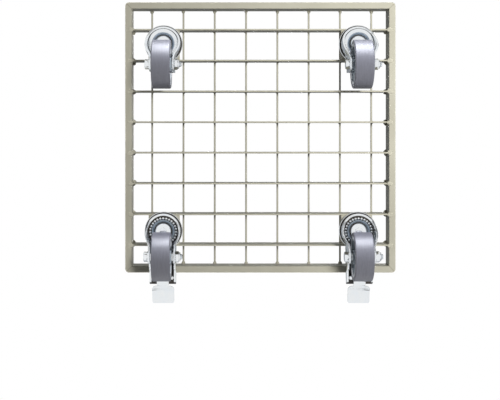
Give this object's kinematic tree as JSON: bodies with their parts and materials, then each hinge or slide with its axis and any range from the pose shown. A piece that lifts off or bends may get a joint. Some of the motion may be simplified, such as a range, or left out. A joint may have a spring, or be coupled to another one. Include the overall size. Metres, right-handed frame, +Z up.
{
  "type": "plant caddy",
  "caption": "Low square plant caddy: a welded bar grating in a tube frame on swivel casters, those at one end with foot brakes.",
  "frame": {"origin": "on the floor under the middle of the whole outline, brake pedals included", "axes": "+X towards the end with the plain casters, +Y to the left, +Z up; the brake pedals face -X"},
  "size_m": [0.318, 0.288, 0.093],
  "materials": {
    "powder_coat": "satin powder coat, grey olive",
    "bright_zinc": "bright zinc plated steel",
    "bearing_steel": "polished steel balls in grease",
    "grey_plastic": "moulded grey polypropylene",
    "tyre_rubber": "dark grey non-marking rubber"
  },
  "bodies": {
    "deck": {"front_rail": "powder_coat", "rear_rail": "powder_coat", "left_rail": "powder_coat", "right_rail": "powder_coat", "grid_bars": "powder_coat", "cross_rods": "powder_coat", "weld_beads": "powder_coat", "mounting_plates": "powder_coat", "bearing_cups": "bright_zinc", "upper_ball_races": "bearing_steel", "lower_ball_races": "bearing_steel", "plain_bearing_pans": "bright_zinc", "brake_bearing_pans": "bright_zinc", "head_bolts": "bright_zinc", "head_nuts": "bright_zinc"},
    "front_left_fork": {"front_left_fork": "bright_zinc", "front_left_axle_sleeve": "bright_zinc", "front_left_axle_bolt": "bright_zinc", "front_left_axle_nut": "bright_zinc", "front_left_pivot_pin": "bright_zinc"},
    "front_left_wheel": {"front_left_wheel_core": "grey_plastic", "front_left_tyre": "tyre_rubber"},
    "front_left_brake_pedal": {"front_left_brake_pedal": "bright_zinc"},
    "front_right_fork": {"front_right_fork": "bright_zinc", "front_right_axle_sleeve": "bright_zinc", "front_right_axle_bolt": "bright_zinc", "front_right_axle_nut": "bright_zinc", "front_right_pivot_pin": "bright_zinc"},
    "front_right_wheel": {"front_right_wheel_core": "grey_plastic", "front_right_tyre": "tyre_rubber"},
    "front_right_brake_pedal": {"front_right_brake_pedal": "bright_zinc"},
    "rear_left_fork": {"rear_left_fork": "bright_zinc", "rear_left_axle_sleeve": "bright_zinc", "rear_left_axle_bolt": "bright_zinc", "rear_left_axle_nut": "bright_zinc"},
    "rear_left_wheel": {"rear_left_wheel_core": "grey_plastic", "rear_left_tyre": "tyre_rubber"},
    "rear_right_fork": {"rear_right_fork": "bright_zinc", "rear_right_axle_sleeve": "bright_zinc", "rear_right_axle_bolt": "bright_zinc", "rear_right_axle_nut": "bright_zinc"},
    "rear_right_wheel": {"rear_right_wheel_core": "grey_plastic", "rear_right_tyre": "tyre_rubber"}
  },
  "joints": [
    {"name": "front_left_swivel", "type": "hinge", "parent": "deck", "child": "front_left_fork", "pos_m": [-0.08345, 0.1025, 0.0562], "axis": [0, 0, 1], "continuous": true},
    {"name": "front_left_wheel_spin", "type": "hinge", "parent": "front_left_fork", "child": "front_left_wheel", "pos_m": [-0.10695, 0.1025, 0.025], "axis": [0, 1, 0], "continuous": true},
    {"name": "front_left_brake", "type": "hinge", "parent": "front_left_fork", "child": "front_left_brake_pedal", "pos_m": [-0.13095, 0.1025, 0.046], "axis": [0, -1, 0], "range_deg": [0, 11]},
    {"name": "front_right_swivel", "type": "hinge", "parent": "deck", "child": "front_right_fork", "pos_m": [-0.08345, -0.1025, 0.0562], "axis": [0, 0, 1], "continuous": true},
    {"name": "front_right_wheel_spin", "type": "hinge", "parent": "front_right_fork", "child": "front_right_wheel", "pos_m": [-0.10695, -0.1025, 0.025], "axis": [0, 1, 0], "continuous": true},
    {"name": "front_right_brake", "type": "hinge", "parent": "front_right_fork", "child": "front_right_brake_pedal", "pos_m": [-0.13095, -0.1025, 0.046], "axis": [0, -1, 0], "range_deg": [0, 11]},
    {"name": "rear_left_swivel", "type": "hinge", "parent": "deck", "child": "rear_left_fork", "pos_m": [0.11335, 0.1025, 0.0562], "axis": [0, 0, 1], "continuous": true},
    {"name": "rear_left_wheel_spin", "type": "hinge", "parent": "rear_left_fork", "child": "rear_left_wheel", "pos_m": [0.08985, 0.1025, 0.025], "axis": [0, 1, 0], "continuous": true},
    {"name": "rear_right_swivel", "type": "hinge", "parent": "deck", "child": "rear_right_fork", "pos_m": [0.11335, -0.1025, 0.0562], "axis": [0, 0, 1], "continuous": true},
    {"name": "rear_right_wheel_spin", "type": "hinge", "parent": "rear_right_fork", "child": "rear_right_wheel", "pos_m": [0.08985, -0.1025, 0.025], "axis": [0, 1, 0], "continuous": true}
  ]
}
